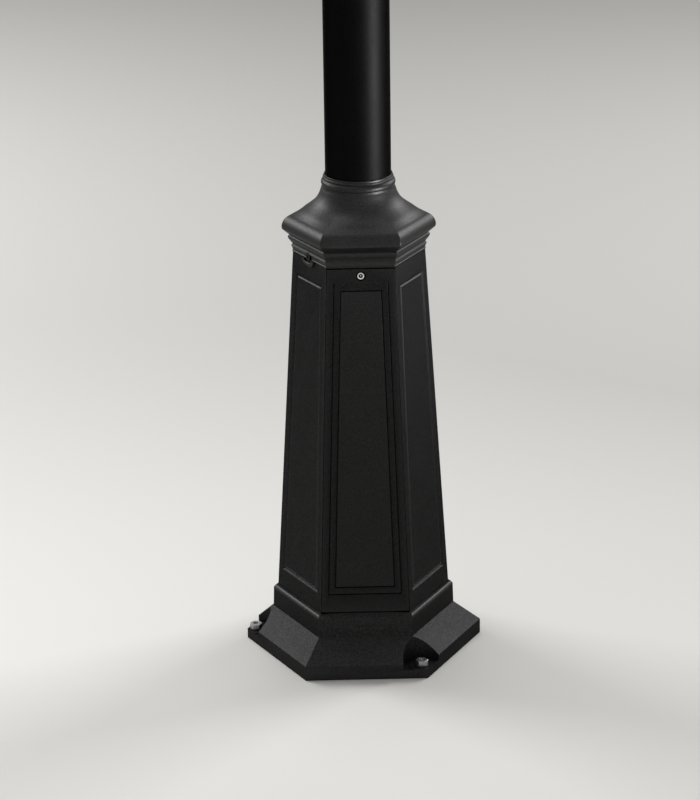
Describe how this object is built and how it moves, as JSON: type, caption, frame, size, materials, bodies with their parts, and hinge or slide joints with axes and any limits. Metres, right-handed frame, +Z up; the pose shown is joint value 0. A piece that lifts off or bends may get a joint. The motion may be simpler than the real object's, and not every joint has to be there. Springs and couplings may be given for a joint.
{
  "type": "lamp post",
  "caption": "Hexagonal cast base with an access door, a round pole, scrolled arms and glazed hexagonal lanterns with hinged roofs",
  "frame": {"origin": "middle of the ground face under the base", "axes": "+Z up along the pole; the access door faces -Y; the arms run along X"},
  "size_m": [0.684, 0.2494, 2.2083],
  "materials": {
    "base_casting": "satin black textured powder coat on a cast body",
    "door_coat": "satin black textured powder coat",
    "cap_coat": "satin black textured powder coat",
    "head_coat": "satin black textured powder coat on cast parts",
    "arm_coat": "satin black powder coat on tube",
    "steel_coat": "satin black powder coat on flat bar",
    "pole_coat": "satin black powder coat on steel tube",
    "stainless": "stainless steel",
    "zinc_bolts": "bright zinc plate",
    "zinc_washers": "bright zinc plate",
    "zinc_sheet": "galvanised sheet",
    "box_plastic": "grey moulded plastic",
    "terminal_plastic": "ivory moulded plastic",
    "gland_plastic": "black moulded plastic",
    "brass_parts": "turned brass",
    "brass_cap": "rolled brass screw cap",
    "pane_glass": "clear flat glass",
    "bulb_glass": "clear blown glass",
    "holder_ceramic": "white glazed ceramic",
    "filament_glow": "amber light rods on a glass stem"
  },
  "bodies": {
    "post": {"base_casting": "base_casting", "anchor_bolts": "zinc_bolts", "anchor_washers": "zinc_washers", "column_cap": "cap_coat", "cap_screws": "stainless", "pole": "pole_coat", "pole_clamp_screws": "stainless", "gear_plate": "zinc_sheet", "gear_screws": "stainless", "junction_box": "box_plastic", "junction_lid": "box_plastic", "lid_screws": "stainless", "terminal_block": "terminal_plastic", "cable_glands": "gland_plastic", "earth_stud": "brass_parts", "earth_nuts": "brass_parts", "scroll_collar": "head_coat", "collar_screws": "stainless", "head_hub": "head_coat", "hub_screws": "stainless", "hub_finial": "head_coat", "tray_screws": "stainless", "nipple_nuts": "brass_parts", "arm_left": "arm_coat", "arm_right": "arm_coat", "scroll_left": "steel_coat", "scroll_right": "steel_coat", "arm_cup_left": "head_coat", "arm_cup_right": "head_coat", "lantern_tray_left": "head_coat", "lantern_tray_right": "head_coat", "lantern_frame_left": "head_coat", "lantern_frame_right": "head_coat", "lantern_glass_left": "pane_glass", "lantern_glass_right": "pane_glass", "hinge_pin_left": "stainless", "hinge_pin_right": "stainless", "holder_nipple_left": "brass_parts", "holder_nipple_right": "brass_parts", "lampholder_left": "holder_ceramic", "lampholder_right": "holder_ceramic", "bulb_cap_left": "brass_cap", "bulb_cap_right": "brass_cap", "bulb_glass_left": "bulb_glass", "bulb_glass_right": "bulb_glass", "filament_left": "filament_glow", "filament_right": "filament_glow"},
    "door": {"access_door": "door_coat"},
    "door_screw": {"door_screw": "stainless"},
    "left_roof": {"roof_left": "head_coat", "roof_vent_left": "head_coat", "roof_finial_left": "head_coat"},
    "left_thumbscrew": {"roof_thumbscrew_left": "brass_parts"},
    "right_roof": {"roof_right": "head_coat", "roof_vent_right": "head_coat", "roof_finial_right": "head_coat"},
    "right_thumbscrew": {"roof_thumbscrew_right": "brass_parts"}
  },
  "joints": [
    {"name": "door_hinge", "type": "hinge", "parent": "post", "child": "door", "pos_m": [0, -0.09061, 0.0721], "axis": [1, 0, 0], "range_deg": [0, 35]},
    {"name": "door_screw_slide", "type": "slide", "parent": "door", "child": "door_screw", "axis": [0, -0.9985, 0.0545], "range_m": [0, 0.014]},
    {"name": "roof_left_hinge", "type": "hinge", "parent": "post", "child": "left_roof", "pos_m": [-0.23, 0.0914, 2.0495], "axis": [-1, 0, 0], "range_deg": [0, 100]},
    {"name": "thumbscrew_left_slide", "type": "slide", "parent": "left_roof", "child": "left_thumbscrew", "axis": [0, 0, 1], "range_m": [0, 0.009]},
    {"name": "roof_right_hinge", "type": "hinge", "parent": "post", "child": "right_roof", "pos_m": [0.23, 0.0914, 2.0495], "axis": [-1, 0, 0], "range_deg": [0, 100]},
    {"name": "thumbscrew_right_slide", "type": "slide", "parent": "right_roof", "child": "right_thumbscrew", "axis": [0, 0, 1], "range_m": [0, 0.009]}
  ]
}
